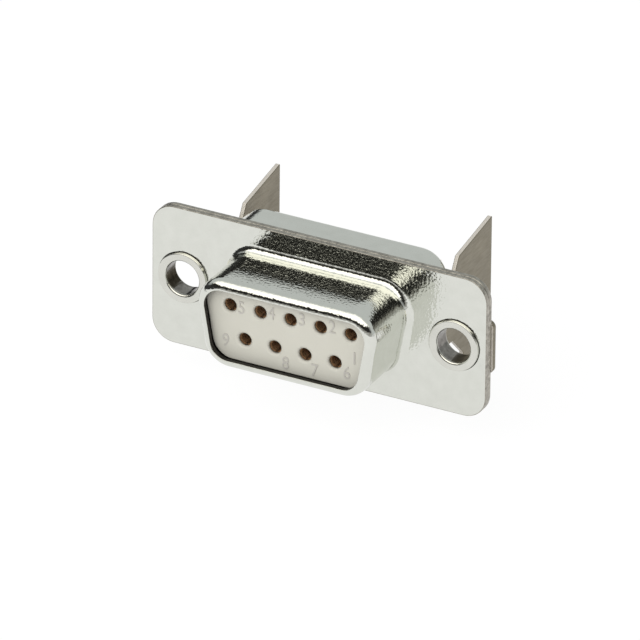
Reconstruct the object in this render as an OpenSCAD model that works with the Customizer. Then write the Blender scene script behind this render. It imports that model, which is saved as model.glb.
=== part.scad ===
// Nine-way D-sub socket connector for edge mounting on a printed circuit board.
// X runs along the contact rows, +Y runs back from the mating side and +Z is up.
// The origin lies midway between the two screw holes, on the front face of the flange.

/* [Contact grid] */
// Distance between neighbouring contacts of one row
pitch = 2.76; // [2.7:0.01:3.2]
// Distance between the upper and the lower row
row_gap = 2.84; // [2.7:0.01:3.4]

/* [Shells] */
// Thickness of both drawn shells
shell_t = 0.45; // [0.3:0.05:0.6]
// From the last contact of the long row to the outside of the shroud
end_land = 2.645; // [2.4:0.005:3.5]
// From a row of contacts to the outside of the shroud
row_land = 2.53; // [2.3:0.01:3.2]
// Slant of the D's short sides, in degrees
side_slant = 10; // [5:1:14]
// Outside corner radius of the shroud
shroud_r = 2.4; // [2:0.05:2.6]
// How far the shroud stands out of the flange
shroud_depth = 6.1; // [5:0.05:8]
// Radius between the flange and the shroud
shroud_root_r = 0.6; // [0.3:0.05:0.9]
// Radius rolled on the mouth of the shroud
shroud_nose_r = 0.75; // [0.7:0.05:0.8]
// From the outside of the shroud in to the edge of its mouth
shroud_edge = 0.8; // [0.8:0.05:1.1]
// How far the rear can is wider than the shroud, on each side
can_step = 1.35; // [1.1:0.05:2]
// How far the rear can is taller than the shroud, above and below
can_rise = 1.62; // [1.3:0.01:1.8]
// Outside corner radius of the rear can
can_r = 2.4; // [2.2:0.05:3]
// How far the rear can stands out behind the flange
can_depth = 4.15; // [3.6:0.05:5.2]
// Radius rolled on the back edge of the can
can_nose_r = 0.8; // [0.6:0.05:1]
// From the outside of the can in to the edge of its opening
can_edge = 0.86; // [0.8:0.02:1.2]

/* [Flange] */
// Width of the flange above and below the rear can
flange_lip = 0.705; // [0.6:0.005:2]
// From the side of the rear can to the centre of a screw hole
hole_side = 2.98; // [2.95:0.01:5]
// From the centre of a screw hole to the end of the flange
hole_edge = 2.91; // [2.6:0.01:5]
// Corner radius of the flange
flange_r = 2; // [0.5:0.1:2.5]

/* [Insulators] */
// How far the insulator's face lies inside the mouth of the shroud
face_recess = 1.05; // [0.95:0.05:1.5]
// Gap between an insulator and the shell around it
insulator_gap = 0.05; // [0.03:0.01:0.2]
// Thickness of the front insulator's base inside the can
base_t = 1.75; // [1.4:0.05:2.2]
// How far the rear insulator stands out of the can
boss_out = 0.7; // [0.4:0.05:0.8]
// Diameter of the entry hole in front of each contact
entry_d = 1.16; // [1.06:0.01:1.3]
// Length of the entry hole
entry_len = 0.45; // [0.4:0.05:1]
// Width of the bevel round each entry hole
entry_bevel = 0.13; // [0.05:0.01:0.2]

/* [Contacts] */
// Diameter of the hole that takes the plug's pin
socket_bore_d = 1.02; // [0.9:0.01:1.04]
// Depth of that hole
socket_bore_len = 5.4; // [4:0.1:5.6]
// Outside diameter of the contact's sleeve
sleeve_d = 1.7; // [1.5:0.05:1.9]
// Width of the slit between the sleeve's two springs
slit_w = 0.24; // [0.1:0.02:0.34]
// Length of that slit
slit_len = 4; // [2:0.1:4.6]
// Diameter of the collar that the insulators hold
collar_d = 2.1; // [2:0.05:2.4]
// Length of the collar
collar_len = 0.6; // [0.3:0.05:0.9]
// Diameter of the shank through the rear insulator
shank_d = 1.2; // [0.9:0.05:1.4]
// How far the shank stands out of the rear insulator
shank_out = 0.25; // [0.1:0.05:0.3]
// Gap between a contact and its hole
contact_gap = 0.05; // [0.02:0.01:0.08]
// Diameter of the solder tail
tail_d = 0.64; // [0.5:0.02:0.8]
// Radius of the tail's bend, on its centre line
tail_bend_r = 1.2; // [0.8:0.05:1.25]
// From the front of the flange to the tails of the lower row
tail_y = 8.08; // [8.08:0.01:14]
// Distance between the two rows of tails
tail_row_gap = 2.84; // [2.6:0.01:3.4]
// How far the tails reach below the top of the board
tail_below = 3.2; // [1.5:0.1:5]
// Length of the point on each tail
tail_point = 0.4; // [0.2:0.05:0.8]

/* [Brackets] */
// Thickness of the bracket's sheet
bracket_t = 0.4; // [0.3:0.05:0.5]
// Inside radius of the bracket's bends
bracket_bend_r = 0.4; // [0.3:0.05:0.5]
// Gap between the rear can and the bracket's wing
wing_gap = 0.1; // [0.05:0.05:0.3]
// Width of the bracket's plate behind the flange
arm_w = 4.8; // [4.4:0.1:5.6]
// How far that plate passes the end of the flange
arm_over = 0.2; // [0:0.05:0.5]
// Corner radius at the end of that plate
arm_r = 0.6; // [0.2:0.1:1.5]
// Height of the wing's rear corner above the centre line
wing_top = 6; // [5:0.1:6.2]
// Slope of the wing's top edge, down towards the front, in degrees
wing_slope = 10; // [0:1:14]
// From the front of the flange to the front corner of the wing's top edge
wing_front = 5.6; // [4.6:0.1:6.4]
// Rise of the wing's front edge, in degrees
wing_rise = 60; // [50:1:80]
// How far the wing reaches behind the last row of tails
wing_guard = 0.55; // [0.5:0.01:1.2]
// From the front of the flange to the front edge of the leg
leg_front = 6.6; // [6:0.1:7]
// Width of the forked prong that goes through the board
prong_w = 2.9; // [2.4:0.1:3.1]
// Width of the slit in the fork
slit_gap = 0.8; // [0.5:0.1:1]
// How far the slit reaches above the top of the board
slit_up = 0.8; // [0.4:0.1:1.5]
// How far the prong reaches below the top of the board
prong_below = 3.2; // [2.4:0.1:4.5]
// Length of the prong's tapered tips
prong_tip = 0.9; // [0.5:0.1:1.2]
// From the flange's lower edge down to the top of the board
board_drop = 0.03; // [0:0.01:1]

/* [Eyelets] */
// Diameter of the screw hole through the eyelet
eyelet_bore_d = 3.05; // [2.8:0.05:3.2]
// Wall of the eyelet's tube
eyelet_wall = 0.35; // [0.25:0.05:0.4]
// Gap between the tube and the sheets that it clamps
eyelet_gap = 0.05; // [0.02:0.01:0.1]
// Width of the front ring outside the tube
ring_w = 0.44; // [0.3:0.02:0.6]
// Height of the front ring
ring_h = 0.3; // [0.3:0.02:0.6]
// Width of the rolled rear edge outside the tube
roll_w = 0.16; // [0.1:0.02:0.2]
// Height of the rolled rear edge
roll_h = 0.3; // [0.2:0.02:0.5]

/* [Hidden] */
$fn = 64;
eps = 0.01;
long_row = 5;
short_row = 4;
right = 1;
left = -1;

// D outlines: the shroud's, and the can's
shroud_w = (long_row - 1) * pitch + 2 * end_land;
shroud_h = row_gap + 2 * row_land;
can_w = shroud_w + 2 * can_step;
can_h = shroud_h + 2 * can_rise;
shroud_corners = d_corners(shroud_w, shroud_h, shroud_r);
can_corners = d_corners(can_w, can_h, can_r);

// Flange outline and screw holes
hole_x = can_w / 2 + hole_side;
flange_w = 2 * (hole_x + hole_edge);
flange_h = can_h + 2 * flange_lip;
stack_t = 2 * shell_t;
eyelet_d = eyelet_bore_d + 2 * eyelet_wall;
eyelet_hole_d = eyelet_d + 2 * eyelet_gap;

// Places along Y, from front to back
face_y = face_recess - shroud_depth;
contact_y = face_y + entry_len;
split_y = shell_t + base_t;
can_y = shell_t + can_depth;
boss_y = can_y + boss_out;
shank_y = boss_y + shank_out;
wing_rear = tail_y + tail_row_gap + wing_guard;

// Places across the bracket, and the board's top face
wing_x = can_w / 2 + wing_gap;
arm_y = stack_t;
board_z = -flange_h / 2 - board_drop;
prong_y = (leg_front + wing_rear) / 2;

// Centres of a D's four corner arcs, counterclockwise from the upper right
function d_corners(wide, tall, r) =
  let (x = wide / 2 - r, z = tall / 2 - r, x_low = x - 2 * z * tan(side_slant))
  [[x, z], [-x, z], [-x_low, -z], [x_low, -z]];

// Direction of the outward normal of the side that starts at corner i
function side_angle(corners, i) =
  let (step = corners[(i + 1) % 4] - corners[i])
  atan2(step[1], step[0]) - 90;

// Place of contact number n, in the plane of the insulator's face.
// Numbers run from right to left, the long row first.
function contact_x(n) = n <= long_row
  ? ((long_row + 1) / 2 - n) * pitch
  : (long_row + (short_row + 1) / 2 - n) * pitch;
function contact_z(n) = n <= long_row ? row_gap / 2 : -row_gap / 2;
function contact_tail_y(n) = n <= long_row ? tail_y + tail_row_gap : tail_y;

// Turns a shape drawn flat, with its height along +Z, to stand on the XZ plane
module toward_front() { rotate([90, 0, 0]) children(); }
module toward_back() { mirror([0, 1, 0]) rotate([90, 0, 0]) children(); }

// Solid whose outline is a D at every height. The child is its section:
// x is the distance out from the corner centres, y the height.
module d_solid(corners, height) {
  for (i = [0:3]) {
    next = corners[(i + 1) % 4];
    translate(corners[i]) rotate_extrude() children();
    translate(next) rotate([90, 0, side_angle(corners, i)])
      linear_extrude(norm(next - corners[i])) children();
  }
  linear_extrude(height) polygon(corners);
}

// Straight D solid of one radius
module d_block(corners, r, height) {
  for (corner = corners) translate(corner) cylinder(r = r, h = height);
  linear_extrude(height) polygon([for (i = [0:3])
    let (a = side_angle(corners, i), out = r * [cos(a), sin(a)])
    each [corners[i] + out, corners[(i + 1) % 4] + out]]);
}

// Rectangle with rounded corners, centred
module rounded_plate(wide, tall, r) {
  square([wide - 2 * r, tall], center = true);
  square([wide, tall - 2 * r], center = true);
  for (x = [-1, 1], y = [-1, 1]) translate([x * (wide / 2 - r), y * (tall / 2 - r)]) circle(r);
}

// Round rod along Y
module rod(d, from_y, to_y) {
  translate([0, to_y, 0]) toward_front() cylinder(d = d, h = to_y - from_y);
}

// Section of the shroud's outside: root fillet, wall and rolled mouth
module shroud_section() {
  top = shell_t + shroud_depth;
  difference() {
    square([shroud_r + shroud_root_r, shell_t + shroud_root_r]);
    translate([shroud_r + shroud_root_r, shell_t + shroud_root_r]) circle(shroud_root_r);
  }
  square([shroud_r, top - shroud_nose_r]);
  square([shroud_r - shroud_nose_r, top]);
  translate([shroud_r - shroud_nose_r, top - shroud_nose_r]) circle(shroud_nose_r);
}

// D solid with straight sides, and an edge rounded over at its top
module rolled_cup(corners, r, height, edge_r) {
  hull() for (corner = corners) translate(corner) {
    cylinder(r = r, h = height - edge_r);
    translate([0, 0, height - edge_r]) rotate_extrude() {
      square([r - edge_r, edge_r]);
      translate([r - edge_r, 0]) intersection() {
        circle(edge_r);
        square(edge_r);
      }
    }
  }
}

// One drawn shell: the flange, with a cup drawn out of it to one thickness and open at
// its end. The child is the outside of the cup.
module drawn_shell(corners, r, depth, nose_r, edge) {
  difference() {
    union() {
      linear_extrude(shell_t) rounded_plate(flange_w, flange_h, flange_r);
      children();
    }
    translate([0, 0, -eps]) rolled_cup(corners, r - shell_t, depth + eps, nose_r - shell_t);
    translate([0, 0, depth + shell_t - nose_r]) d_block(corners, r - edge, nose_r + eps);
    for (side = [left, right])
      translate([side * hole_x, 0, -eps]) cylinder(d = eyelet_hole_d, h = shell_t + 2 * eps);
  }
}

module front_shell() {
  color([0.80, 0.81, 0.78]) translate([0, shell_t, 0]) toward_front()
    drawn_shell(shroud_corners, shroud_r, shroud_depth, shroud_nose_r, shroud_edge)
      d_solid(shroud_corners, shell_t + shroud_depth) shroud_section();
}

module rear_shell() {
  color([0.72, 0.75, 0.73]) translate([0, shell_t, 0]) toward_back()
    drawn_shell(can_corners, can_r, can_depth, can_nose_r, can_edge)
      rolled_cup(can_corners, can_r, shell_t + can_depth, can_nose_r);
}

// Holes for all nine contacts, of one diameter
module contact_holes(d, from_y, to_y) {
  for (n = [1:long_row + short_row])
    translate([contact_x(n), 0, contact_z(n)]) rod(d, from_y, to_y);
}

// Bevels round the entry holes
module entry_bevels() {
  for (n = [1:long_row + short_row])
    translate([contact_x(n), face_y + entry_bevel, contact_z(n)]) toward_front()
      cylinder(d1 = entry_d, d2 = entry_d + 4 * entry_bevel, h = 2 * entry_bevel);
}

module front_insulator() {
  boss_r = shroud_r - shell_t - insulator_gap;
  base_r = can_r - shell_t - insulator_gap;
  color([0.86, 0.85, 0.82]) difference() {
    union() {
      translate([0, split_y, 0]) toward_front() d_block(shroud_corners, boss_r, split_y - face_y);
      translate([0, split_y, 0]) toward_front() d_block(can_corners, base_r, base_t);
    }
    contact_holes(entry_d, face_y - eps, split_y - eps);
    contact_holes(sleeve_d + 2 * contact_gap, contact_y - contact_gap, split_y + eps);
    contact_holes(collar_d + 2 * contact_gap, split_y - collar_len - contact_gap, split_y + eps);
    entry_bevels();
  }
}

module rear_insulator() {
  body_r = can_r - shell_t - insulator_gap;
  boss_r = can_r - can_edge - insulator_gap;
  color([0.84, 0.83, 0.80]) difference() {
    union() {
      translate([0, split_y, 0]) toward_back()
        d_block(can_corners, boss_r, boss_y - split_y);
      translate([0, split_y, 0]) toward_back()
        d_block(can_corners, body_r, can_y - shell_t - insulator_gap - split_y);
    }
    contact_holes(shank_d + 2 * contact_gap, split_y - eps, boss_y + eps);
  }
}

// Contact number n: slit sleeve, collar, shank and bent solder tail, in one piece
module contact(n) {
  turn_y = contact_tail_y(n) - tail_bend_r;
  z = contact_z(n);
  tip_z = board_z - tail_below - z;
  color([0.72, 0.48, 0.30]) translate([contact_x(n), 0, z]) {
    difference() {
      union() {
        rod(sleeve_d, contact_y, split_y);
        rod(collar_d, split_y - collar_len, split_y);
        rod(shank_d, split_y - eps, shank_y);
        rod(tail_d, split_y, turn_y);
      }
      rod(socket_bore_d, contact_y - eps, contact_y + socket_bore_len);
      translate([-slit_w / 2, contact_y - eps, -sleeve_d]) cube([slit_w, slit_len, 2 * sleeve_d]);
    }
    translate([0, turn_y, -tail_bend_r]) rotate([0, 90, 0]) rotate([0, 0, 90])
      rotate_extrude(angle = 90) translate([tail_bend_r, 0]) circle(d = tail_d);
    translate([0, contact_tail_y(n), tip_z + tail_point])
      cylinder(d = tail_d, h = -tail_bend_r - tip_z - tail_point);
    translate([0, contact_tail_y(n), tip_z])
      cylinder(d1 = tail_d / 2, d2 = tail_d, h = tail_point);
  }
}

// One half of the fork, behind its centre line, from the slit round to the shoulder
function fork_half() =
  let (tip_z = board_z - prong_below)
  [[slit_gap / 2, board_z + slit_up], [slit_gap / 2, tip_z], [prong_w / 4 + slit_gap / 4, tip_z],
    [prong_w / 2, tip_z + prong_tip], [prong_w / 2, board_z]];

// Side view of the wing: the arm, the rising front edge, the leg and its fork
module wing_outline() {
  arm = arm_w / 2;
  dip = (-arm - board_z) / 2;
  fold_y = arm_y + bracket_t + bracket_bend_r;
  fork = fork_half();
  front_z = wing_top - (wing_rear - wing_front) * tan(wing_slope);
  polygon([
    [fold_y, -arm],
    [leg_front - dip, -arm],
    [leg_front, -arm - dip],
    [leg_front, board_z],
    for (i = [len(fork) - 1:-1:0]) [prong_y - fork[i][0], fork[i][1]],
    for (point = fork) [prong_y + point[0], point[1]],
    [wing_rear, board_z],
    [wing_rear, wing_top],
    [wing_front, front_z],
    [wing_front - (front_z - arm) / tan(wing_rise), arm],
    [fold_y, arm]
  ]);
}

// Right-hand bracket, folded from one strip: a plate behind the flange, and a wing
// whose forked leg stands in the board
module bracket() {
  fold_x = wing_x + bracket_t + bracket_bend_r;
  arm_end = flange_w / 2 + arm_over;
  difference() {
    union() {
      // plate behind the flange
      translate([0, arm_y + bracket_t, 0]) toward_front() linear_extrude(bracket_t) {
        translate([fold_x, -arm_w / 2]) square([arm_end - arm_r - fold_x, arm_w]);
        translate([fold_x, arm_r - arm_w / 2]) square([arm_end - fold_x, arm_w - 2 * arm_r]);
        for (up = [-1, 1]) translate([arm_end - arm_r, up * (arm_w / 2 - arm_r)]) circle(arm_r);
      }
      // fold from the plate to the wing
      translate([fold_x, arm_y + bracket_t + bracket_bend_r, 0]) rotate([0, 0, 180])
        rotate_extrude(angle = 90)
          translate([bracket_bend_r, -arm_w / 2]) square([bracket_t, arm_w]);
      // wing
      translate([wing_x, 0, 0]) rotate([90, 0, 90]) linear_extrude(bracket_t) wing_outline();
    }
    translate([hole_x, 0, 0]) rod(eyelet_hole_d, arm_y - eps, arm_y + bracket_t + eps);
  }
}

module right_bracket() { color([0.62, 0.62, 0.60]) bracket(); }
module left_bracket() { color([0.62, 0.60, 0.54]) mirror([1, 0, 0]) bracket(); }

// Tubular eyelet: a raised ring in front, a tube, and an edge rolled over behind
module eyelet() {
  bore_r = eyelet_bore_d / 2;
  tube_r = eyelet_d / 2;
  grip = arm_y + bracket_t;
  front_r = ring_h / 2;
  back_r = roll_h / 2;
  rotate([-90, 0, 0]) rotate_extrude() {
    translate([bore_r, 0]) square([eyelet_wall, grip]);
    translate([bore_r + front_r, -ring_h]) square([tube_r + ring_w - bore_r - 2 * front_r, ring_h]);
    translate([bore_r, -front_r]) square([tube_r + ring_w - bore_r, front_r]);
    for (x = [bore_r + front_r, tube_r + ring_w - front_r]) translate([x, -front_r]) circle(front_r);
    translate([bore_r, grip]) square([tube_r + roll_w - bore_r, back_r]);
    translate([bore_r + back_r, grip]) square([tube_r + roll_w - bore_r - 2 * back_r, roll_h]);
    for (x = [bore_r + back_r, tube_r + roll_w - back_r]) translate([x, grip + back_r]) circle(back_r);
  }
}

module left_eyelet() { color([0.83, 0.83, 0.80]) translate([left * hole_x, 0, 0]) eyelet(); }
module right_eyelet() { color([0.83, 0.83, 0.80]) translate([right * hole_x, 0, 0]) eyelet(); }

front_shell();
rear_shell();
front_insulator();
rear_insulator();
contact(1);  // contact_1
contact(2);  // contact_2
contact(3);  // contact_3
contact(4);  // contact_4
contact(5);  // contact_5
contact(6);  // contact_6
contact(7);  // contact_7
contact(8);  // contact_8
contact(9);  // contact_9
left_bracket();
right_bracket();
left_eyelet();
right_eyelet();
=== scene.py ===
"""Nine-way D-sub socket connector: shells, insulators, contacts, brackets and eyelets, dressed.

Lengths are in millimetres until a mesh is made, and the finished meshes are in metres.
X runs along the contact rows, Y back from the mating side, Z up.
"""

import logging
import math
from dataclasses import dataclass, field
from enum import Enum, IntEnum

import bmesh
import bpy
from mathutils import Matrix, Vector
from mathutils.geometry import tessellate_polygon

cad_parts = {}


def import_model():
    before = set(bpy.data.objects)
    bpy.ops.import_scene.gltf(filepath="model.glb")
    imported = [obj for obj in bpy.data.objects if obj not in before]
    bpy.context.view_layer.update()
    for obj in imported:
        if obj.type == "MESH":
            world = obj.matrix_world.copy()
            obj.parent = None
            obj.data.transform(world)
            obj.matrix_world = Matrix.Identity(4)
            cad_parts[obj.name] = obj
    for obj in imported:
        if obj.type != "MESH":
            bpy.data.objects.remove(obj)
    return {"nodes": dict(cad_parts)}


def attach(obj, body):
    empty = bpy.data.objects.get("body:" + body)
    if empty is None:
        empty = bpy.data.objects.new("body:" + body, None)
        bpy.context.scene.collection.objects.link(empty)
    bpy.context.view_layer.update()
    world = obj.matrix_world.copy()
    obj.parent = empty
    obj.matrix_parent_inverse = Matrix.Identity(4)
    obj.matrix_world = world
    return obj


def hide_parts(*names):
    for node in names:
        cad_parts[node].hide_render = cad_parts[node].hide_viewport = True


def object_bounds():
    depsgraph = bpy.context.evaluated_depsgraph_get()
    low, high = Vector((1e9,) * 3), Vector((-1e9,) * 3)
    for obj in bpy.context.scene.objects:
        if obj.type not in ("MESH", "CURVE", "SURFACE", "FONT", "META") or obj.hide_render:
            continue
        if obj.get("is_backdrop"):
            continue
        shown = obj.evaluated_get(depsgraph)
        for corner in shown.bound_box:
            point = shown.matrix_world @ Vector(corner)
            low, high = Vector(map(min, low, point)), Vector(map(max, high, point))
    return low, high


MM = 0.001
LOG = logging.getLogger("connector")

# Softening of a carried-over solid: points welded within WELD metres, faces joined that lie
# within LEVEL, and edges rounded that turn by more than SHARP.
WELD = 1e-6
LEVEL = math.radians(0.8)
SHARP = math.radians(25)

Point = tuple[float, float, float]
Colour = tuple[float, float, float]
Flat = tuple[float, float]


# ---- outlines


@dataclass(frozen=True)
class DOutline:
    """A D with rounded corners, given by its corner arcs' centres.

    Attributes:
        width: outside width at the corner radius given, in mm.
        height: outside height, in mm.
        radius: outside corner radius, in mm.
        slant: slant of the short sides, in degrees.
        steps: segments on each corner arc.
    """

    width: float
    height: float
    radius: float
    slant: float = 10.0
    steps: int = 16

    def corners(self) -> list[Flat]:
        """Returns the arc centres, counterclockwise from the upper right."""
        x = self.width / 2 - self.radius
        z = self.height / 2 - self.radius
        low = x - 2 * z * math.tan(math.radians(self.slant))
        return [(x, z), (-x, z), (-low, -z), (low, -z)]

    def loop(self, radius: float) -> list[Flat]:
        """Points of the outline that lies a distance out from the arc centres.

        Args:
            radius: that distance, in mm.

        Returns:
            Points (x, z), counterclockwise. Every radius gives the same count.
        """
        lean = 90.0 + self.slant
        turns = [-self.slant, 90.0, 90.0 + lean, 270.0, 360.0 - self.slant]
        points: list[Flat] = []
        for (x, z), start, end in zip(self.corners(), turns, turns[1:]):
            for k in range(self.steps + 1):
                a = math.radians(start + (end - start) * k / self.steps)
                points.append((x + radius * math.cos(a), z + radius * math.sin(a)))
        return points


def plate_loop(width: float, height: float, radius: float, steps: int = 12) -> list[Flat]:
    """Rectangle with rounded corners, counterclockwise.

    Args:
        width: full width, in mm.
        height: full height, in mm.
        radius: corner radius, in mm.
        steps: segments on each corner.

    Returns:
        Points (x, z).
    """
    points: list[Flat] = []
    signs = [(1, 1), (-1, 1), (-1, -1), (1, -1)]
    for corner, (sx, sz) in enumerate(signs):
        for k in range(steps + 1):
            a = math.radians(90.0 * corner + 90.0 * k / steps)
            x = sx * (width / 2 - radius) + radius * math.cos(a)
            z = sz * (height / 2 - radius) + radius * math.sin(a)
            points.append((x, z))
    return points


def round_loop(centre: Flat, radius: float, steps: int = 64) -> list[Flat]:
    """Circle, counterclockwise.

    Args:
        centre: centre (x, z), in mm.
        radius: radius, in mm.
        steps: number of points.

    Returns:
        Points (x, z).
    """
    angles = [2 * math.pi / steps * k for k in range(steps)]
    return [(centre[0] + radius * math.cos(a), centre[1] + radius * math.sin(a)) for a in angles]


def arc(centre: Flat, radius: float, start: float, end: float, steps: int) -> list[Flat]:
    """Points on an arc of a section.

    Args:
        centre: arc centre, as (out, along).
        radius: arc radius, in mm.
        start: first angle, in degrees, from the out direction towards the along direction.
        end: last angle, in degrees.
        steps: segments.

    Returns:
        Points (out, along).
    """
    angles = [math.radians(start + (end - start) * k / steps) for k in range(steps + 1)]
    return [(centre[0] + radius * math.cos(a), centre[1] + radius * math.sin(a)) for a in angles]


# ---- meshes


class Slot(IntEnum):
    """Material slot of a face."""

    MAIN = 0
    EDGE = 1
    INSIDE = 2


class Solid:
    """Closed mesh that is gathered ring by ring, in millimetres."""

    def __init__(self) -> None:
        """Starts with no points."""
        self.points: list[Point] = []
        self.faces: list[tuple[int, ...]] = []
        self.level: set[int] = set()
        self.slots: list[Slot] = []

    def ring(self, loop: list[Flat], y: float) -> list[int]:
        """Adds a ring of points at one place along Y.

        Args:
            loop: points (x, z).
            y: the place, in mm.

        Returns:
            The points' numbers.
        """
        first = len(self.points)
        self.points += [(x, y, z) for x, z in loop]
        return list(range(first, len(self.points)))

    def bands(self, rings: list[list[int]], slot: Slot = Slot.MAIN) -> None:
        """Joins a row of rings, each to the next, with bands of faces.

        Args:
            rings: rings of one count.
            slot: the faces' material slot.
        """
        for a, b in zip(rings, rings[1:]):
            for k in range(len(a)):
                m = (k + 1) % len(a)
                self.faces.append((a[k], a[m], b[m], b[k]))
                self.slots.append(slot)

    def cover(self, outer: list[int], holes: list[list[int]]) -> None:
        """Fills the flat space between an outer ring and the holes in it, in the main slot.

        Args:
            outer: numbers of the outer ring.
            holes: rings of the holes.
        """
        loops = [outer, *holes]
        numbers = [n for loop in loops for n in loop]
        flat = [[Vector((self.points[n][0], self.points[n][2], 0.0)) for n in loop] for loop in loops]
        for tri in tessellate_polygon(flat):
            self.level.add(len(self.faces))
            self.faces.append(tuple(numbers[k] for k in tri))
            self.slots.append(Slot.MAIN)

    def build(self, name: str) -> bpy.types.Object:
        """Makes the object, with smooth edges between true flats.

        Args:
            name: name of the object.

        Returns:
            The new object, in metres.
        """
        mesh = bpy.data.meshes.new(name)
        mesh.from_pydata([tuple(c * MM for c in p) for p in self.points], [], self.faces)
        work = bmesh.new()
        work.from_mesh(mesh)
        bmesh.ops.recalc_face_normals(work, faces=work.faces)
        work.faces.ensure_lookup_table()
        normals = vertex_normals(work, self.level)
        work.to_mesh(mesh)
        work.free()
        mesh.polygons.foreach_set("material_index", self.slots)
        return finish_mesh(mesh, normals, name)


def vertex_normals(work: bmesh.types.BMesh, level: set[int]) -> list[Vector]:
    """Normals of a mesh's vertices: those of the true flats, or else the faces' by area.

    Args:
        work: the mesh.
        level: numbers of the faces that are true flats.

    Returns:
        One normal for each vertex.
    """
    normals = []
    for vert in work.verts:
        flats = [f.normal for f in vert.link_faces if f.index in level]
        normal = sum(flats or [f.normal * f.calc_area() for f in vert.link_faces], Vector())
        normals.append(normal.normalized())
    return normals


def finish_mesh(mesh: bpy.types.Mesh, normals: list[Vector], name: str) -> bpy.types.Object:
    """Shades a mesh by the normals given and links an object for it.

    Args:
        mesh: the mesh, in metres.
        normals: one normal for each vertex.
        name: name of the object.

    Returns:
        The new object.
    """
    mesh.polygons.foreach_set("use_smooth", [True] * len(mesh.polygons))
    mesh.normals_split_custom_set_from_vertices(normals)
    mesh.update()
    piece = bpy.data.objects.new(name, mesh)
    bpy.context.scene.collection.objects.link(piece)
    return piece


def softened(node: bpy.types.Object, name: str, width: float, steps: int = 2) -> bpy.types.Object:
    """Copy of a solid with its sharp edges rounded.

    Args:
        node: the object to copy.
        name: name of the copy.
        width: width of the rounding, in mm.
        steps: segments across it.

    Returns:
        The new object.
    """
    work = bmesh.new()
    work.from_mesh(node.data)
    bmesh.ops.remove_doubles(work, verts=work.verts, dist=WELD)
    bmesh.ops.dissolve_limit(work, angle_limit=LEVEL, verts=work.verts, edges=work.edges)
    sharp = [e for e in work.edges if e.is_manifold and e.calc_face_angle() > SHARP]
    bmesh.ops.bevel(
        work, geom=sharp, offset=width * MM, offset_type="OFFSET", segments=steps, profile=0.5,
        affect="EDGES", clamp_overlap=True, loop_slide=True,
    )
    normals = vertex_normals(work, set())
    mesh = bpy.data.meshes.new(name)
    work.to_mesh(mesh)
    work.free()
    return finish_mesh(mesh, normals, name)


# ---- shared shader groups


def socket(tree: bpy.types.NodeTree, name: str, side: str, kind: str, value: float | None = None) -> None:
    """Adds one socket to a node group.

    Args:
        tree: the group's tree.
        name: the socket's name.
        side: INPUT or OUTPUT.
        kind: socket type.
        value: default of an input.
    """
    item = tree.interface.new_socket(name=name, in_out=side, socket_type=kind)
    if value is not None:
        item.default_value = value


def span(nodes: bpy.types.Nodes, low: float, high: float) -> bpy.types.Node:
    """Adds a node that maps a range of values to 0 to 1, or to the limits that are linked to it.

    Args:
        nodes: the tree's nodes.
        low: the value that becomes the lower limit.
        high: the value that becomes the upper limit.

    Returns:
        The new node.
    """
    node = nodes.new("ShaderNodeMapRange")
    node.inputs["From Min"].default_value = low
    node.inputs["From Max"].default_value = high
    return node


def colour_mix(nodes: bpy.types.Nodes) -> bpy.types.Node:
    """Adds a node that mixes two colours.

    Args:
        nodes: the tree's nodes.

    Returns:
        The new node.
    """
    node = nodes.new("ShaderNodeMix")
    node.data_type = "RGBA"
    return node


def maths(nodes: bpy.types.Nodes, operation: str, second: float | None = None) -> bpy.types.Node:
    """Adds a node that calculates one value.

    Args:
        nodes: the tree's nodes.
        operation: the operation.
        second: value of its second input, where that is a plain number.

    Returns:
        The new node.
    """
    node = nodes.new("ShaderNodeMath")
    node.operation = operation
    if second is not None:
        node.inputs[1].default_value = second
    return node


def grain_group() -> bpy.types.NodeTree:
    """Fine rolled grain: a mask and a height, from noise that is drawn out along one direction.

    Returns:
        The node group, built once.
    """
    found = bpy.data.node_groups.get("sheet_grain")
    if found:
        return found
    tree = bpy.data.node_groups.new("sheet_grain", "ShaderNodeTree")
    socket(tree, "Scale", "INPUT", "NodeSocketFloat", 4000.0)
    socket(tree, "Stretch", "INPUT", "NodeSocketVector")
    socket(tree, "Low", "INPUT", "NodeSocketFloat", 0.2)
    socket(tree, "High", "INPUT", "NodeSocketFloat", 0.4)
    socket(tree, "Value", "OUTPUT", "NodeSocketFloat")
    socket(tree, "Height", "OUTPUT", "NodeSocketFloat")
    nodes, links = tree.nodes, tree.links
    inside = nodes.new("NodeGroupInput")
    outside = nodes.new("NodeGroupOutput")
    place = nodes.new("ShaderNodeTexCoord")
    squeeze = nodes.new("ShaderNodeVectorMath")
    squeeze.operation = "MULTIPLY"
    noise = nodes.new("ShaderNodeTexNoise")
    noise.inputs["Detail"].default_value = 1.0
    noise.inputs["Roughness"].default_value = 0.5
    spread = span(nodes, 0.3, 0.7)
    links.new(place.outputs["Object"], squeeze.inputs[0])
    links.new(inside.outputs["Stretch"], squeeze.inputs[1])
    links.new(squeeze.outputs["Vector"], noise.inputs["Vector"])
    links.new(inside.outputs["Scale"], noise.inputs["Scale"])
    links.new(noise.outputs["Fac"], spread.inputs["Value"])
    links.new(inside.outputs["Low"], spread.inputs["To Min"])
    links.new(inside.outputs["High"], spread.inputs["To Max"])
    links.new(spread.outputs["Result"], outside.inputs["Value"])
    links.new(noise.outputs["Fac"], outside.inputs["Height"])
    return tree


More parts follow.
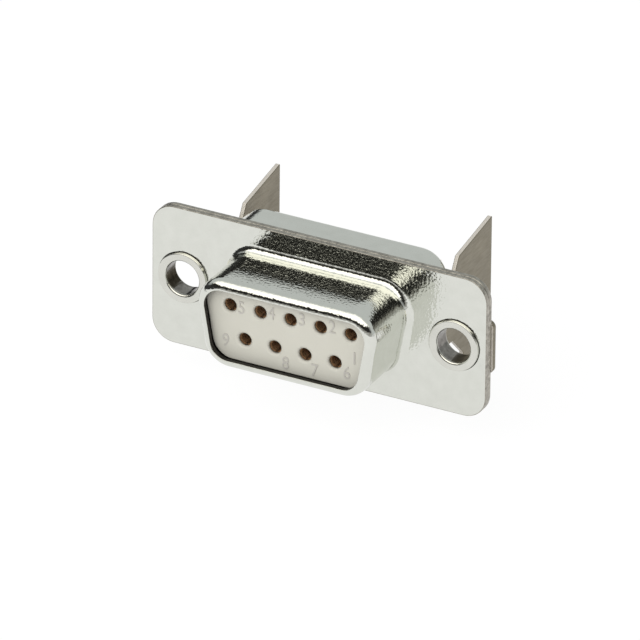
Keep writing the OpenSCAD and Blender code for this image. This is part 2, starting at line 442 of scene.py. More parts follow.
def tone_group() -> bpy.types.NodeTree:
    """Slow change of tone over a surface, between two colours.

    Returns:
        The node group, built once.
    """
    found = bpy.data.node_groups.get("slow_tone")
    if found:
        return found
    tree = bpy.data.node_groups.new("slow_tone", "ShaderNodeTree")
    socket(tree, "Scale", "INPUT", "NodeSocketFloat", 300.0)
    socket(tree, "Light", "INPUT", "NodeSocketColor")
    socket(tree, "Dark", "INPUT", "NodeSocketColor")
    socket(tree, "Color", "OUTPUT", "NodeSocketColor")
    nodes, links = tree.nodes, tree.links
    inside = nodes.new("NodeGroupInput")
    outside = nodes.new("NodeGroupOutput")
    place = nodes.new("ShaderNodeTexCoord")
    noise = nodes.new("ShaderNodeTexNoise")
    noise.inputs["Detail"].default_value = 4.0
    mix = colour_mix(nodes)
    links.new(place.outputs["Object"], noise.inputs["Vector"])
    links.new(inside.outputs["Scale"], noise.inputs["Scale"])
    links.new(noise.outputs["Fac"], mix.inputs["Factor"])
    links.new(inside.outputs["Dark"], mix.inputs["A"])
    links.new(inside.outputs["Light"], mix.inputs["B"])
    links.new(mix.outputs["Result"], outside.inputs["Color"])
    return tree


@dataclass(frozen=True)
class Finish:
    """One surface finish.

    Attributes:
        name: name of the material.
        light: lighter colour, linear RGB.
        dark: darker colour, linear RGB.
        metal: metallic value.
        smooth: lowest roughness.
        rough: highest roughness.
        grain: grain scale, in cycles a metre.
        stretch: how the grain is squeezed along X, Y and Z.
        relief: strength of the bump.
        depth: height of the grain, in mm.
        tone: scale of the slow change of tone.
    """

    name: str
    light: Colour
    dark: Colour
    metal: float = 1.0
    smooth: float = 0.2
    rough: float = 0.35
    grain: float = 5000.0
    stretch: Point = (1.0, 1.0, 1.0)
    relief: float = 0.3
    depth: float = 0.01
    tone: float = 400.0

    def material(self) -> bpy.types.Material:
        """Returns the material, built once."""
        found = bpy.data.materials.get(self.name)
        if found:
            return found
        material = bpy.data.materials.new(self.name)
        material.use_nodes = True
        nodes, links = material.node_tree.nodes, material.node_tree.links
        skin = nodes["Principled BSDF"]
        skin.inputs["Metallic"].default_value = self.metal
        tone = nodes.new("ShaderNodeGroup")
        tone.node_tree = tone_group()
        tone.inputs["Scale"].default_value = self.tone
        tone.inputs["Light"].default_value = (*self.light, 1.0)
        tone.inputs["Dark"].default_value = (*self.dark, 1.0)
        grain = nodes.new("ShaderNodeGroup")
        grain.node_tree = grain_group()
        grain.inputs["Scale"].default_value = self.grain
        grain.inputs["Stretch"].default_value = self.stretch
        grain.inputs["Low"].default_value = self.smooth
        grain.inputs["High"].default_value = self.rough
        bump = nodes.new("ShaderNodeBump")
        bump.inputs["Strength"].default_value = self.relief
        bump.inputs["Distance"].default_value = self.depth * MM
        links.new(tone.outputs["Color"], skin.inputs["Base Color"])
        links.new(grain.outputs["Value"], skin.inputs["Roughness"])
        links.new(grain.outputs["Height"], bump.inputs["Height"])
        links.new(bump.outputs["Normal"], skin.inputs["Normal"])
        return material


class Finishes(Enum):
    """The finishes of the connector."""

    SHELL = Finish(
        "tin_plated_steel", (0.76, 0.77, 0.72), (0.66, 0.67, 0.62), smooth=0.04, rough=0.12,
        grain=4300.0, relief=0.62, depth=0.028, tone=900.0,
    )
    CUT = Finish(
        "sheared_edge", (0.70, 0.67, 0.59), (0.06, 0.05, 0.04), smooth=0.25, rough=0.42,
        grain=4000.0, relief=1.0, depth=0.03, tone=2600.0,
    )
    # Painted shade: a near-black finish on the shell's inner faces behind the mouth and on the ring round
    # each eyelet's foot, standing in for the shade there.
    HOLLOW = Finish(
        "painted_shade", (0.06, 0.055, 0.05), (0.03, 0.028, 0.025), smooth=0.4, rough=0.6,
        relief=0.2, tone=600.0,
    )
    BRACKET = Finish(
        "plated_steel_strip", (0.28, 0.25, 0.185), (0.18, 0.16, 0.12), smooth=0.30, rough=0.46,
        grain=6000.0, stretch=(1.0, 0.12, 1.0),
    )
    # Painted highlight: a bright, half-metal copy of the strip steel on the brackets' edges and plate,
    # standing in for the light they catch.
    STRIP_EDGE = Finish(
        "painted_highlight_strip_edge", (0.72, 0.68, 0.62), (0.60, 0.56, 0.50), metal=0.4, smooth=0.45, rough=0.6,
        tone=900.0,
    )
    TUBE = Finish(
        "drawn_tube", (0.42, 0.40, 0.37), (0.03, 0.027, 0.024), smooth=0.10, rough=0.25,
        grain=2400.0, stretch=(1.0, 0.25, 1.0), relief=1.0, depth=0.05, tone=2400.0,
    )
    EYELET = Finish(
        "nickel_plated_brass", (0.74, 0.74, 0.69), (0.62, 0.62, 0.57), smooth=0.12, rough=0.24,
        grain=7000.0, relief=0.2, depth=0.008, tone=700.0,
    )
    COPPER = Finish(
        "copper_alloy", (0.60, 0.37, 0.20), (0.44, 0.26, 0.14), metal=0.7, smooth=0.22, rough=0.4,
        grain=8000.0, relief=0.2, depth=0.006, tone=800.0,
    )
    NUMBER = Finish(
        "grey_relief", (0.48, 0.465, 0.43), (0.44, 0.425, 0.39), metal=0.0, smooth=0.45, rough=0.6,
        relief=0.1,
    )
    PLASTIC = Finish(
        "pale_moulding", (0.57, 0.56, 0.50), (0.53, 0.52, 0.46), metal=0.0, smooth=0.42, rough=0.6,
        relief=0.15,
    )

    def dress(self, piece: bpy.types.Object, *more: "Finishes") -> None:
        """Gives a piece this finish.

        Args:
            piece: the object.
            more: finishes of its further slots.
        """
        slots = [p.material_index for p in piece.data.polygons]
        piece.data.materials.clear()
        for finish in (self, *more):
            piece.data.materials.append(finish.value.material())
        piece.data.polygons.foreach_set("material_index", slots if more else [0] * len(slots))


# ---- sub-assemblies


@dataclass
class Grid:
    """Places of the nine contacts, on the insulator's face.

    Attributes:
        pitch: from contact to contact along a row, in mm.
        row_gap: between the rows, in mm.
        long_row: contacts in the upper row.
        short_row: contacts in the lower row.
    """

    pitch: float = 2.76
    row_gap: float = 2.84
    long_row: int = 5
    short_row: int = 4

    def place(self, number: int) -> Flat:
        """Centre of one contact.

        Args:
            number: its number, from 1 at the right of the long row.

        Returns:
            The point (x, z), in mm.
        """
        if number <= self.long_row:
            return ((self.long_row + 1) / 2 - number) * self.pitch, self.row_gap / 2
        return (self.long_row + (self.short_row + 1) / 2 - number) * self.pitch, -self.row_gap / 2

    def numbers(self) -> range:
        """Returns the numbers of all contacts."""
        return range(1, self.long_row + self.short_row + 1)


# What more than one piece shares, in mm: the contacts' places, the outsides of the shroud and
# of the can, the thickness of the shells, the gap round the mouldings, the screw holes' distance
# from the middle, the moulded face, and the plane where the two mouldings meet.
GRID = Grid()
SHROUD = DOutline(16.33, 7.90, 2.4)
CAN = DOutline(19.03, 11.14, 2.4)
SHEET = 0.45
GAP = 0.05
HOLE_X = 12.495
FACE_Y = -5.05
SPLIT_Y = 2.2


def drill(solid: Solid, outside: list[list[int]], section: list[Flat], steps: int) -> None:
    """Adds one hole for each contact to a moulding, and closes its two end faces round them.

    Args:
        solid: the moulding.
        outside: rings of its outside, from front to back.
        section: section of a hole, as (radius, y), from front to back.
        steps: points on each ring of a hole.
    """
    holes = []
    for number in GRID.numbers():
        rings = [solid.ring(round_loop(GRID.place(number), radius, steps), y) for radius, y in section]
        solid.bands(rings)
        holes.append(rings)
    for end in (0, -1):
        solid.cover(outside[end], [rings[end] for rings in holes])


@dataclass
class Shell:
    """One drawn shell: flange and cup, pressed from one sheet.

    Attributes:
        node: the solid that it stands for.
        outline: outline of the cup.
        depth: how far the cup reaches from the back of its flange sheet.
        root: radius between flange and cup.
        nose: radius rolled on the cup's open edge.
        rim: from the outside of the cup in to its open edge.
        facing: -1 if the cup points forward, 1 if it points back.
        flange: width and height of the flange.
        flange_radius: corner radius of the flange.
        hole_radius: radius of the eyelets' holes.
        lip: rounding of the cup's sheared edge.
        edge: rounding of the flange's sheared edges.
        bulge: share of that rounding that is left at its middle.
        least: least share of the hollow's rolled radius between its centre and the mouth.
        steps: segments on the root, the nose, the lip and the hollow's rolled edge.
    """

    node: str
    outline: DOutline
    depth: float
    root: float
    nose: float
    rim: float
    facing: int
    flange: Flat = (30.81, 12.55)
    flange_radius: float = 2.0
    hole_radius: float = 1.925
    lip: float = 0.05
    edge: float = 0.07
    bulge: float = 0.3
    least: float = 0.02
    steps: tuple[int, int, int, int] = (10, 18, 3, 6)

    def along(self, height: float) -> float:
        """Place along Y of a height above the sheet's hidden side.

        Args:
            height: the height, in mm.

        Returns:
            Y, in mm.
        """
        return SHEET + self.facing * height

    def cup_section(self) -> tuple[list[Flat], list[Flat]]:
        """Section of the cup, from the flange's face round the mouth to the flange's hidden side.

        Returns:
            Two parts as (out, height): the one in view up to the mouth, and the hollow after it.
        """
        r = self.outline.radius
        at_root, at_nose, at_lip, at_hollow = self.steps
        out, top = r - self.nose, SHEET + self.depth - self.nose
        mouth = r - self.rim
        shown = arc((r + self.root, SHEET + self.root), self.root, 270.0, 180.0, at_root)
        turn = math.degrees(math.acos(max(0.0, (mouth + self.lip - out) / self.nose)))
        shown += arc((out, top), self.nose, 0.0, turn, at_nose)
        lip_centre = (mouth + self.lip, shown[-1][1] - self.lip)
        shown += arc(lip_centre, self.lip, 90.0, 180.0, at_lip)[1:]
        inner = self.nose - SHEET
        turn = math.degrees(math.acos(max(self.least, (mouth - out) / inner)))
        hollow = [(mouth, self.depth)]
        hollow += arc((out, top), inner, turn, 0.0, at_hollow)
        hollow += [(r - SHEET, self.edge), (r - SHEET + self.edge, 0.0)]
        return shown, hollow

    def border(self) -> list[Flat]:
        """Returns the section of the flange's sheared edge, as (inset, height)."""
        e, mid = self.edge, self.edge * self.bulge
        return [(e, SHEET), (mid, SHEET - mid), (0.0, SHEET - e), (0.0, e), (mid, mid), (e, 0.0)]

    def hole(self, solid: Solid, side: int) -> list[list[int]]:
        """Adds the wall of one hole of the flange.

        Args:
            solid: the mesh that it becomes part of.
            side: -1 on the left, 1 on the right.

        Returns:
            Its rings, from the flange's face to the hidden side.
        """
        r, e = self.hole_radius, self.edge
        wall = [(r + e, SHEET), (r, SHEET - e), (r, e), (r + e, 0.0)]
        centre = (side * HOLE_X, 0.0)
        rings = [solid.ring(round_loop(centre, radius), self.along(height)) for radius, height in wall]
        solid.bands(rings, Slot.EDGE)
        return rings

    def build(self) -> bpy.types.Object:
        """Returns the dressed shell."""
        solid = Solid()
        wide, tall = self.flange
        border = []
        for inset, height in self.border():
            loop = plate_loop(wide - 2 * inset, tall - 2 * inset, self.flange_radius - inset)
            border.append(solid.ring(loop, self.along(height)))
        solid.bands(border, Slot.EDGE)
        shown, hollow = (
            [solid.ring(self.outline.loop(out), self.along(height)) for out, height in part]
            for part in self.cup_section()
        )
        solid.bands(shown)
        # The inner faces from the mouth back take the near-black finish: painted shade.
        solid.bands(shown[-1:] + hollow, Slot.INSIDE)
        holes = [self.hole(solid, side) for side in (-1, 1)]
        solid.cover(border[0], [shown[0]] + [rings[0] for rings in holes])
        solid.cover(border[-1], [hollow[-1]] + [rings[-1] for rings in holes])
        piece = solid.build(self.node + "_sheet")
        Finishes.SHELL.dress(piece, Finishes.CUT, Finishes.HOLLOW)
        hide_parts(self.node)
        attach(piece, "root")
        return piece


@dataclass
class FrontInsulator:
    """Front moulding: nine entry holes in its face, sleeve chambers behind them, a wider base in the can.

    Attributes:
        base_y: front of the base.
        face_edge: rounding round the face.
        entry_radius: radius of the entry holes.
        entry_length: length of the entry holes.
        bevel: size of the entries' bevel.
        bevel_curve: points of that bevel, as shares of it (out, in).
        chamber_radius: radius of the sleeve chambers.
        chamber_shelf: how far the chamber's front slopes back.
        edge: rounding of the base.
        face_steps: segments on the rounding round the face.
        steps: points on each ring of a hole.
    """

    base_y: float = 0.45
    face_edge: float = 0.12
    entry_radius: float = 0.58
    entry_length: float = 0.4
    bevel: float = 0.13
    bevel_curve: tuple[Flat, ...] = ((2.0, 0.0), (0.8, 0.35), (0.0, 1.2))
    chamber_radius: float = 0.9
    chamber_shelf: float = 0.02
    edge: float = 0.05
    face_steps: int = 8
    steps: int = 40

    def outside(self, solid: Solid) -> list[list[int]]:
        """Adds the outside, from the face to the split.

        Args:
            solid: the mesh that it becomes part of.

        Returns:
            Its rings.
        """
        boss = SHROUD.radius - SHEET - GAP
        base = CAN.radius - SHEET - GAP
        e, fe = self.edge, self.face_edge
        face = arc((boss - fe, 0.0), fe, 90.0, 0.0, self.face_steps)
        rings = [solid.ring(SHROUD.loop(out), FACE_Y + fe - up) for out, up in face]
        rings.append(solid.ring(SHROUD.loop(boss), self.base_y))
        block = [(base - e, self.base_y), (base, self.base_y + e), (base, SPLIT_Y - e), (base - e, SPLIT_Y)]
        rings += [solid.ring(CAN.loop(out), y) for out, y in block]
        solid.bands(rings)
        return rings

    def hole(self) -> list[Flat]:
        """Returns the section of one hole, from the face to the split, as (radius, y)."""
        r, shelf_y = self.entry_radius, FACE_Y + self.entry_length
        entry = [(r + out * self.bevel, FACE_Y + deep * self.bevel) for out, deep in self.bevel_curve]
        chamber = [(self.chamber_radius, shelf_y + self.chamber_shelf), (self.chamber_radius, SPLIT_Y)]
        return entry + [(r, shelf_y)] + chamber

    def build(self) -> bpy.types.Object:
        """Returns the dressed moulding."""
        solid = Solid()
        drill(solid, self.outside(solid), self.hole(), self.steps)
        piece = solid.build("front_moulding")
        Finishes.PLASTIC.dress(piece)
        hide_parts("front_insulator")
        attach(piece, "root")
        return piece


@dataclass
class RearInsulator:
    """Rear moulding: fills the can and holds the contacts' shanks.

    Attributes:
        step_y: where the block in the can ends and the boss begins.
        back_y: rear face of the boss.
        boss_out: from the corner arcs' centres out to the side of the boss.
        shank_radius: radius of the shank holes.
        edge: rounding of the boss.
        edge_steps: segments on it.
        steps: points on each ring of a hole.
    """

    step_y: float = 4.10
    back_y: float = 5.3
    boss_out: float = 1.49
    shank_radius: float = 0.65
    edge: float = 0.12
    edge_steps: int = 4
    steps: int = 32

    def outside(self) -> list[Flat]:
        """Returns the section of the outside, from the split to the rear face, as (out, y)."""
        base = CAN.radius - SHEET - GAP
        section = [(base, SPLIT_Y), (base, self.step_y), (self.boss_out, self.step_y)]
        rounding = arc((self.boss_out - self.edge, 0.0), self.edge, 0.0, 90.0, self.edge_steps)
        return section + [(out, self.back_y - self.edge + up) for out, up in rounding]

    def hole(self) -> list[Flat]:
        """Returns the section of one shank hole, from the split to the rear face, as (radius, y)."""
        r, half = self.shank_radius, self.edge / 2
        return [(r, SPLIT_Y), (r, self.back_y - half), (r + half, self.back_y)]

    def build(self) -> bpy.types.Object:
        """Returns the dressed moulding."""
        solid = Solid()
        outside = [solid.ring(CAN.loop(out), y) for out, y in self.outside()]
        solid.bands(outside)
        drill(solid, outside, self.hole(), self.steps)
        piece = solid.build("rear_moulding")
        Finishes.PLASTIC.dress(piece)
        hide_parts("rear_insulator")
        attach(piece, "root")
        return piece


@dataclass
class ContactNumbers:
    """Raised numbers 1 to 9 on the insulator's face, one beside each hole.

    Attributes:
        height: height of a figure.
        figure: that height, as a share of the font's size.
        narrow: width of a figure, as a share of the font's own.
        relief: how far the figures stand out.
        sunk: how far they reach into the face.
        curve_steps: segments on each stretch of a figure's outline.
        offsets: from each hole's centre to the middle of its figure (x, z).
    """

    height: float = 1.15
    figure: float = 0.70
    narrow: float = 0.86
    relief: float = 0.05
    sunk: float = 0.02
    curve_steps: int = 4
    offsets: dict[int, Flat] = field(
        default_factory=lambda: {
            1: (0.45, -1.95), 2: (1.15, 0.40), 3: (1.13, 0.40), 4: (1.10, 0.30), 5: (1.10, 0.10),
            6: (1.15, -0.60), 7: (0.95, -1.10), 8: (1.05, -1.10), 9: (-1.70, -0.35),
        }
    )

    def number(self, number: int) -> bpy.types.Mesh:
        """Makes one number.

        Args:
            number: the number.

        Returns:
            Its mesh, in place, in metres.
        """
        curve = bpy.data.curves.new("number", "FONT")
        curve.body = str(number)
        curve.size = self.height * MM / self.figure
        curve.align_x = "CENTER"
        curve.extrude = (self.relief + self.sunk) / 2 * MM
        curve.resolution_u = self.curve_steps
        text = bpy.data.objects.new("number", curve)
        bpy.context.scene.collection.objects.link(text)
        bpy.context.view_layer.update()
        mesh = bpy.data.meshes.new_from_object(text)
        x, z = GRID.place(number)
        dx, dz = self.offsets[number]
        low = (x + dx, FACE_Y - (self.relief - self.sunk) / 2, z + dz - self.height / 2)
        upright = Matrix.Rotation(math.pi / 2, 4, "X") @ Matrix.Diagonal((self.narrow, 1.0, 1.0, 1.0))
        mesh.transform(Matrix.Translation(Vector(low) * MM) @ upright)
        bpy.data.objects.remove(text)
        bpy.data.curves.remove(curve)
        return mesh

    def build(self) -> bpy.types.Object:
        """Returns all numbers as one dressed piece."""
        work = bmesh.new()
        for number in self.offsets:
            figure = self.number(number)
            work.from_mesh(figure)
            bpy.data.meshes.remove(figure)
        mesh = bpy.data.meshes.new("contact_numbers")
        work.to_mesh(mesh)
        work.free()
        piece = bpy.data.objects.new("contact_numbers", mesh)
        bpy.context.scene.collection.objects.link(piece)
        Finishes.NUMBER.dress(piece)
        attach(piece, "root")
        return piece


@dataclass
class Eyelet:
    """Tubular eyelet: a raised ring in front, a tube, and an edge rolled over behind.

    Attributes:
        side: -1 on the left, 1 on the right.
        bore: inside radius of the tube.
        wall: thickness of the tube.
        ring: from the tube's outside to the ring's.
        ring_height: how far the ring stands out from the flange.
        ring_edge: rounding of the ring's outer edge.
        mouth: rounding of the bore's front edge.
        seam: width of the near-black ring round the ring's foot, painted shade for the crevice there.
        film: height of that painted shade ring.
        grip: from the flange's front to the rolled edge.
        roll: from the tube's outside to that of the rolled edge.
        roll_height: height of the rolled edge.
        points: points on each circle.
        steps: segments on the mouth, the ring's edge and each side of the rolled edge.
    """

    side: int
    bore: float = 1.525
    wall: float = 0.35
    ring: float = 0.37
    ring_height: float = 0.30
    ring_edge: float = 0.1
    mouth: float = 0.24
    seam: float = 0.07
    film: float = 0.012
    grip: float = 1.3
    roll: float = 0.16
    roll_height: float = 0.3
    points: int = 72
    steps: tuple[int, int, int] = (8, 5, 6)

    def face(self) -> list[Flat]:
        """Returns the section of the rounded mouth and the ring, as (radius, y)."""
        top, mouth, edge = -self.ring_height, self.mouth, self.ring_edge
        outer = self.bore + self.wall + self.ring
        section = arc((self.bore + mouth, top + mouth), mouth, 180.0, 270.0, self.steps[0])
        return section + arc((outer - edge, top + edge), edge, 270.0, 360.0, self.steps[1])

    def foot(self) -> list[Flat]:
        """Returns the section of the near-black ring round the ring's foot, painted shade for the crevice, as
        (radius, y).
        """
        outer = self.bore + self.wall + self.ring
        return [(outer, -2 * self.film), (outer + self.seam, -self.film), (outer + self.seam, 0.0)]

    def back(self) -> list[Flat]:
        """Returns the section of the tube's outside and its rolled end, as (radius, y)."""
        tube = self.bore + self.wall
        rolled = tube + self.roll
        half = self.roll_height / 2
        section = [(tube, 0.0), (tube, self.grip), (rolled, self.grip)]
        section += arc((rolled - half, self.grip + half), half, 0.0, 90.0, self.steps[2])
        return section + arc((self.bore + half, self.grip + half), half, 90.0, 180.0, self.steps[2])

    def build(self) -> bpy.types.Object:
        """Returns the dressed eyelet."""
        name = "left_eyelet" if self.side < 0 else "right_eyelet"
        solid = Solid()
        face, foot, back = (
            [solid.ring(round_loop((self.side * HOLE_X, 0.0), radius, self.points), y) for radius, y in part]
            for part in (self.face(), self.foot(), self.back())
        )
        solid.bands(face + foot[:1])
        solid.bands(foot[-1:] + back)
        # The ring round the foot takes the near-black finish: painted shade.
        solid.bands(foot, Slot.EDGE)
        solid.bands(back[-1:] + face[:1], Slot.INSIDE)
        piece = solid.build(name + "_tube")
        Finishes.EYELET.dress(piece, Finishes.HOLLOW, Finishes.TUBE)
        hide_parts(name)
        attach(piece, "root")
        return piece


@dataclass
class Bracket:
    """Folded board bracket with its stamped edges just broken.

    Attributes:
        node: the solid that it follows.
        edge: rounding of its edges.
        side_lean: least share of X in the normal of a face that counts as the wing's side.
    """

    node: str
    edge: float = 0.05
    side_lean: float = 0.3

    def build(self, solid: bpy.types.Object) -> bpy.types.Object:
        """Dresses one bracket: its wing's sides in the dull strip finish, and its edges and plate in a bright
        one that is painted highlight.

        Args:
            solid: the solid to follow.

        Returns:
            The bracket.
        """
        piece = softened(solid, self.node + "_strip", self.edge)
        # Faces that don't face along X get the bright finish, a painted highlight.
        for face in piece.data.polygons:
            face.material_index = Slot.EDGE if abs(face.normal.x) < self.side_lean else Slot.MAIN
        Finishes.BRACKET.dress(piece, Finishes.STRIP_EDGE)
        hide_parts(self.node)
        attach(piece, "root")
        return piece


@dataclass
class Contact:
    """Socket contact with its bent solder tail.

    Attributes:
        number: its number, from 1 to 9.
        edge: rounding of its edges.
        edge_steps: segments across that rounding.
    """

    number: int
    edge: float = 0.02
    edge_steps: int = 1

    def build(self, solid: bpy.types.Object) -> bpy.types.Object:
        """Dresses one contact.

        Args:
            solid: the solid to follow.

        Returns:
            The contact.
        """
        piece = softened(solid, f"contact_{self.number}_copper", self.edge, self.edge_steps)
        Finishes.COPPER.dress(piece)
        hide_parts(f"contact_{self.number}")
        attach(piece, "root")
        return piece


# ---- studio


@dataclass(frozen=True)
class Lamp:
    """Square soft lamp that faces the connector, and that the metal doesn't mirror.

    Attributes:
        name: its name.
        place: where it stands, in metres.
        size: its side, in metres.
        power: its power, in watts.
        colour: its colour.
    """

    name: str
    place: Point
    size: float
    power: float
    colour: Colour

    def build(self) -> None:
        """Makes the lamp."""
        data = bpy.data.lights.new(self.name, "AREA")
        data.size = self.size
        data.energy = self.power
        data.color = self.colour
        lamp = bpy.data.objects.new(self.name, data)
        lamp.visible_glossy = False
        lamp.location = self.place
        lamp.rotation_mode = "QUATERNION"
        lamp.rotation_quaternion = Vector(self.place).to_track_quat("Z", "Y")
        bpy.context.scene.collection.objects.link(lamp)


@dataclass(frozen=True)
class Sky:
    """World: pale to the camera, plain to matt surfaces, and a studio of light and dark to metal.

    Attributes:
        pale: brightness for the camera.
        plain: brightness for matt surfaces.
        strength: brightness of the mirrored studio.
        behind: its colour behind the connector.
        ahead: its colours in front, each after its height: 0 straight down, 1 straight up.
        turn: values of Y between which behind becomes ahead.
        flag: brightness of the dark flag on the left.
        flag_side: values of X between which the flag begins.
        flag_top: values of Z between which the flag begins.
    """

    pale: float = 0.8
    plain: float = 0.62
    strength: float = 1.9
    behind: Colour = (0.326, 0.339, 0.337)
    ahead: tuple[tuple[float, Colour], ...] = (
        (0.50, (0.28, 0.28, 0.28)),
        (0.57, (0.20, 0.194, 0.18)),
        (0.62, (0.012, 0.01164, 0.0108)),
        (0.77, (0.012, 0.01164, 0.0108)),
        (0.805, (1.0, 0.97, 0.90)),
        (0.95, (1.0, 0.965, 0.90)),
    )
    turn: Flat = (0.15, -0.35)
    flag: float = 0.02
    flag_side: Flat = (-0.45, -0.55)
    flag_top: Flat = (0.34, 0.24)

    def front(self, tree: bpy.types.NodeTree, split: bpy.types.Node) -> bpy.types.NodeSocket:
        """Adds the studio in front, which changes with height.

        Args:
            tree: the world's nodes and links.
            split: the node that gives the parts of the direction.

        Returns:
            Its colour.
        """
        ramp = tree.nodes.new("ShaderNodeValToRGB")
        stops = ramp.color_ramp.elements
        first, *middle, last = self.ahead
        for stop, (position, _) in zip(stops, (first, last)):
            stop.position = position
        for position, _ in middle:
            stops.new(position)
        for stop, (_, colour) in zip(stops, self.ahead):
            stop.color = (*colour, 1.0)
        height = span(tree.nodes, -1.0, 1.0)
        tree.links.new(split.outputs["Z"], height.inputs["Value"])
        tree.links.new(height.outputs["Result"], ramp.inputs["Fac"])
        return ramp.outputs["Color"]

    def shade(self, tree: bpy.types.NodeTree, split: bpy.types.Node) -> bpy.types.NodeSocket:
        """Adds the mask of the dark flag on the left.

        Args:
            tree: the world's nodes and links.
            split: the node that gives the parts of the direction.

        Returns:
            The mask.
        """
        both = maths(tree.nodes, "MULTIPLY")
        for k, (part, limits) in enumerate((("X", self.flag_side), ("Z", self.flag_top))):
            side = span(tree.nodes, *limits)
            tree.links.new(split.outputs[part], side.inputs["Value"])
            tree.links.new(side.outputs["Result"], both.inputs[k])
        return both.outputs["Value"]

    def mirrored(self, tree: bpy.types.NodeTree) -> bpy.types.Node:
        """Adds the studio that the metal mirrors.

        Args:
            tree: the world's nodes and links.

        Returns:
            Its background.
        """
        nodes, links = tree.nodes, tree.links
        place = nodes.new("ShaderNodeTexCoord")
        split = nodes.new("ShaderNodeSeparateXYZ")
        links.new(place.outputs["Generated"], split.inputs["Vector"])
        round_about = span(nodes, *self.turn)
        round_about.interpolation_type = "SMOOTHSTEP"
        links.new(split.outputs["Y"], round_about.inputs["Value"])
        sides, flagged = colour_mix(nodes), colour_mix(nodes)
        sides.inputs["A"].default_value = (*self.behind, 1.0)
        links.new(round_about.outputs["Result"], sides.inputs["Factor"])
        links.new(self.front(tree, split), sides.inputs["B"])
        flagged.inputs["B"].default_value = (self.flag, self.flag, self.flag, 1.0)
        links.new(self.shade(tree, split), flagged.inputs["Factor"])
        links.new(sides.outputs["Result"], flagged.inputs["A"])
        node = nodes.new("ShaderNodeBackground")
        node.inputs["Strength"].default_value = self.strength
        links.new(flagged.outputs["Result"], node.inputs["Color"])
        return node

    def build(self) -> None:
        """Makes the world."""
        world = bpy.data.worlds.new("studio")
        world.use_nodes = True
        nodes, links = world.node_tree.nodes, world.node_tree.links
        nodes.clear()
        rays = nodes.new("ShaderNodeLightPath")
        plain, pale = nodes.new("ShaderNodeBackground"), nodes.new("ShaderNodeBackground")
        for node, tone in ((plain, self.plain), (pale, self.pale)):
            node.inputs["Color"].default_value = (tone, tone, tone, 1.0)
        result = plain.outputs["Background"]
        for ray, other in (("Is Glossy Ray", self.mirrored(world.node_tree)), ("Is Camera Ray", pale)):
            choice = nodes.new("ShaderNodeMixShader")
            links.new(rays.outputs[ray], choice.inputs["Fac"])
            links.new(result, choice.inputs[1])
            links.new(other.outputs["Background"], choice.inputs[2])
            result = choice.outputs["Shader"]
        out = nodes.new("ShaderNodeOutputWorld")
        links.new(result, out.inputs["Surface"])
        bpy.context.scene.world = world


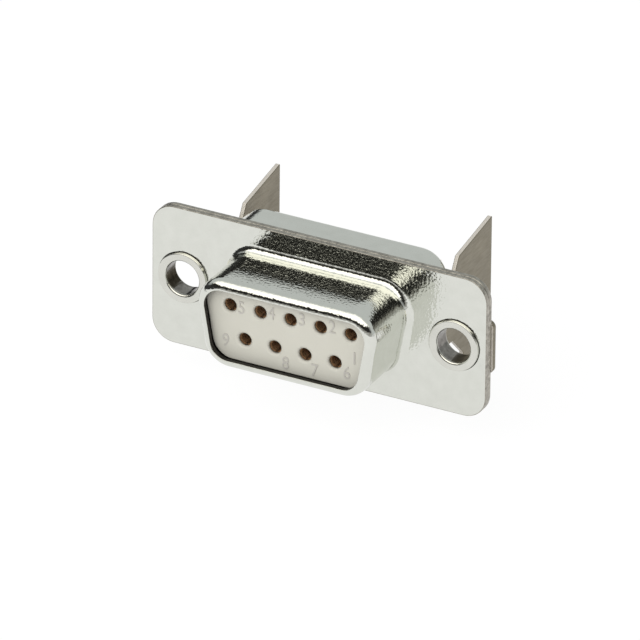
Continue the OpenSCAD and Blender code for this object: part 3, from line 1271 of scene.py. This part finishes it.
@dataclass
class Studio:
    """Pale floor, soft light, world and camera.

    Attributes:
        azimuth: how far the camera stands to the right of the mating side, in degrees.
        elevation: how far it looks down, in degrees.
        roll: how far it is turned about its own axis, in degrees.
        aim: the point that it looks at, in mm.
        distance: from that point to the camera, in mm.
        view_width: width of the view at that point, in mm.
        sensor: width of the camera's sensor, in mm.
        clip: nearest and farthest distance that it sees, in metres.
        floor_size: side of the floor, in metres.
        floor_tone: the floor's colour.
        floor_rough: the floor's roughness.
        floor_glow: the floor's own brightness.
        glow_seen: share of that glow in what the camera sees.
        glow_mirrored: share of that glow in what the metal mirrors.
        sky: the world.
        key: the lamp.
    """

    azimuth: float = 27.4
    elevation: float = 27.6
    roll: float = 0.55
    aim: Point = (0.17, 0.0, -0.80)
    distance: float = 1000.0
    view_width: float = 52.29
    sensor: float = 36.0
    clip: Flat = (0.01, 20.0)
    floor_size: float = 3.0
    floor_tone: float = 0.86
    floor_rough: float = 0.9
    floor_glow: float = 1.04
    glow_seen: float = 0.9
    glow_mirrored: float = 0.70
    sky: Sky = Sky()
    key: Lamp = Lamp("key", (0.0, -0.31, 0.21), 0.30, 0.96, (1.0, 0.99, 0.96))

    def camera(self) -> None:
        """Makes the camera."""
        a, e, roll = (math.radians(v) for v in (self.azimuth, self.elevation, self.roll))
        ahead = Vector((-math.sin(a) * math.cos(e), math.cos(a) * math.cos(e), -math.sin(e)))
        level = Vector((math.cos(a), math.sin(a), 0.0))
        up = level.cross(ahead)
        right = level * math.cos(roll) + up * math.sin(roll)
        top = up * math.cos(roll) - level * math.sin(roll)
        data = bpy.data.cameras.new("camera")
        data.sensor_width = self.sensor
        data.lens = self.sensor * self.distance / self.view_width
        data.clip_start, data.clip_end = self.clip
        camera = bpy.data.objects.new("camera", data)
        place = (Vector(self.aim) - ahead * self.distance) * MM
        turn = Matrix((right, top, -ahead)).transposed().to_4x4()
        camera.matrix_world = Matrix.Translation(place) @ turn
        bpy.context.scene.collection.objects.link(camera)
        bpy.context.scene.camera = camera

    def floor_material(self) -> bpy.types.Material:
        """Returns the floor's material: matt, with a glow that only the camera and the metal see."""
        material = bpy.data.materials.new("pale_floor")
        material.use_nodes = True
        nodes, links = material.node_tree.nodes, material.node_tree.links
        skin = nodes["Principled BSDF"]
        skin.inputs["Base Color"].default_value = (self.floor_tone, self.floor_tone, self.floor_tone, 1.0)
        skin.inputs["Roughness"].default_value = self.floor_rough
        skin.inputs["Specular IOR Level"].default_value = 0.0
        glow = nodes.new("ShaderNodeEmission")
        glow.inputs["Strength"].default_value = self.floor_glow
        rays = nodes.new("ShaderNodeLightPath")
        seen = maths(nodes, "MULTIPLY", self.glow_seen)
        share = maths(nodes, "MULTIPLY_ADD", self.glow_mirrored)
        mixed = nodes.new("ShaderNodeMixShader")
        links.new(rays.outputs["Is Camera Ray"], seen.inputs[0])
        links.new(rays.outputs["Is Glossy Ray"], share.inputs[0])
        links.new(seen.outputs["Value"], share.inputs[2])
        links.new(share.outputs["Value"], mixed.inputs["Fac"])
        links.new(skin.outputs["BSDF"], mixed.inputs[1])
        links.new(glow.outputs["Emission"], mixed.inputs[2])
        links.new(mixed.outputs["Shader"], nodes["Material Output"].inputs["Surface"])
        return material

    def floor(self, height: float) -> None:
        """Makes the floor.

        Args:
            height: its height, in metres.
        """
        half = self.floor_size / 2
        corners = [(-half, -half, height), (half, -half, height), (half, half, height), (-half, half, height)]
        mesh = bpy.data.meshes.new("floor")
        mesh.from_pydata(corners, [], [(0, 1, 2, 3)])
        mesh.materials.append(self.floor_material())
        floor = bpy.data.objects.new("floor", mesh)
        bpy.context.scene.collection.objects.link(floor)
        floor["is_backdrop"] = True

    def build(self, floor_height: float) -> None:
        """Sets up the whole studio.

        Args:
            floor_height: height of the floor, in metres.
        """
        self.camera()
        self.floor(floor_height)
        self.sky.build()
        self.key.build()
        bpy.context.scene.view_settings.view_transform = "Standard"


# How far the floor lies below the solder tails, in metres.
FLOOR_GAP = 0.0002


def main() -> None:
    """Builds the connector, piece by piece, and the studio round it."""
    logging.basicConfig(level=logging.INFO, format="%(message)s")
    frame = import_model()
    cad_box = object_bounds()
    nodes = frame["nodes"]
    Studio().build(cad_box[0].z - FLOOR_GAP)
    made = [
        Shell("front_shell", SHROUD, depth=6.1, root=0.7, nose=0.9, rim=0.8, facing=-1).build(),
        Shell("rear_shell", CAN, depth=4.15, root=0.5, nose=0.8, rim=0.86, facing=1).build(),
        FrontInsulator().build(),
        RearInsulator().build(),
        ContactNumbers().build(),
    ]
    made += [Contact(n).build(nodes[f"contact_{n}"]) for n in GRID.numbers()]
    made += [Bracket(node).build(nodes[node]) for node in ("left_bracket", "right_bracket")]
    made += [Eyelet(side).build() for side in (-1, 1)]
    for piece in made:
        LOG.info("%s: %d faces", piece.name, len(piece.data.polygons))


if __name__ == "__main__":
    main()
